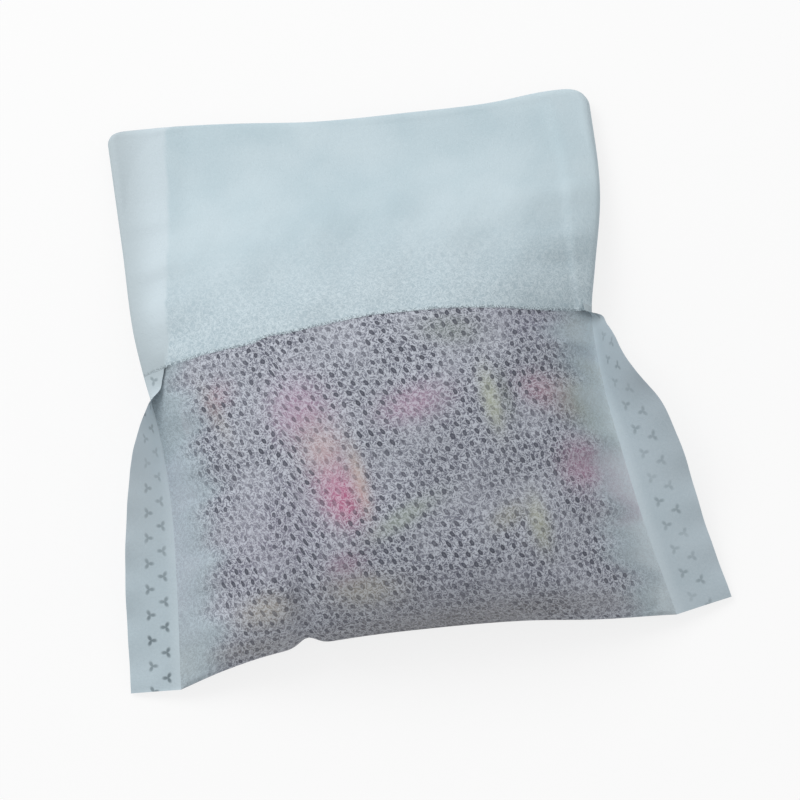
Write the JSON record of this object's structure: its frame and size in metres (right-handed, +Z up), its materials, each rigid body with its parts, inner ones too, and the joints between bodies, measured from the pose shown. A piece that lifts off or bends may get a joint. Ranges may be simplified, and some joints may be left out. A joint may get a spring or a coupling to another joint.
{
  "type": "tea filter bag",
  "caption": "Filled fold-over tea bag of thin non-woven web with a turned hood over its mouth and sealed side fins, lying on its back with leaves and petals showing through",
  "frame": {"origin": "middle of the bag's box in plan, on the table plane under its flat back", "axes": "+X across the bag towards its wider sealed side, +Y towards the hood and top fold, +Z up out of the front panel"},
  "size_m": [0.0942, 0.0922, 0.0207],
  "materials": {
    "nonwoven_web": "matte translucent non-woven web with point bonds",
    "dark_leaf": "matte dried leaf",
    "pink_petal": "matte dried petal",
    "pale_husk": "matte dried husk",
    "green_leaf": "matte dried leaf"
  },
  "bodies": {
    "root": {"bright_petal": "pink_petal", "corner_husk": "pale_husk", "dark_leaf_01": "dark_leaf", "dark_leaf_02": "dark_leaf", "dark_leaf_03": "dark_leaf", "dark_leaf_04": "dark_leaf", "dark_leaf_05": "dark_leaf", "dark_leaf_06": "dark_leaf", "dark_leaf_07": "dark_leaf", "dark_leaf_08": "dark_leaf", "dark_leaf_09": "dark_leaf", "dark_leaf_10": "dark_leaf", "dark_leaf_11": "dark_leaf", "dark_leaf_12": "dark_leaf", "dark_leaf_13": "dark_leaf", "dark_leaf_14": "dark_leaf", "dark_leaf_15": "dark_leaf", "dark_leaf_16": "dark_leaf", "dark_leaf_17": "dark_leaf", "dark_leaf_18": "dark_leaf", "dark_leaf_19": "dark_leaf", "dark_leaf_20": "dark_leaf", "filter_bag": "nonwoven_web", "green_patch": "green_leaf", "green_sliver": "green_leaf", "green_stem": "green_leaf", "husk_bit_lower": "pale_husk", "husk_bit_upper": "pale_husk", "left_petal": "pink_petal", "left_stick": "pale_husk", "low_husk": "pale_husk", "low_petal": "pink_petal", "middle_petal": "pink_petal", "pale_sliver": "pale_husk", "pale_stick": "pale_husk", "petal_base": "pale_husk", "right_petal_lower": "pink_petal", "right_petal_upper": "pink_petal", "right_stick": "pale_husk", "soft_petal": "pink_petal", "tea_leaf_bed": "dark_leaf"}
  },
  "joints": []
}
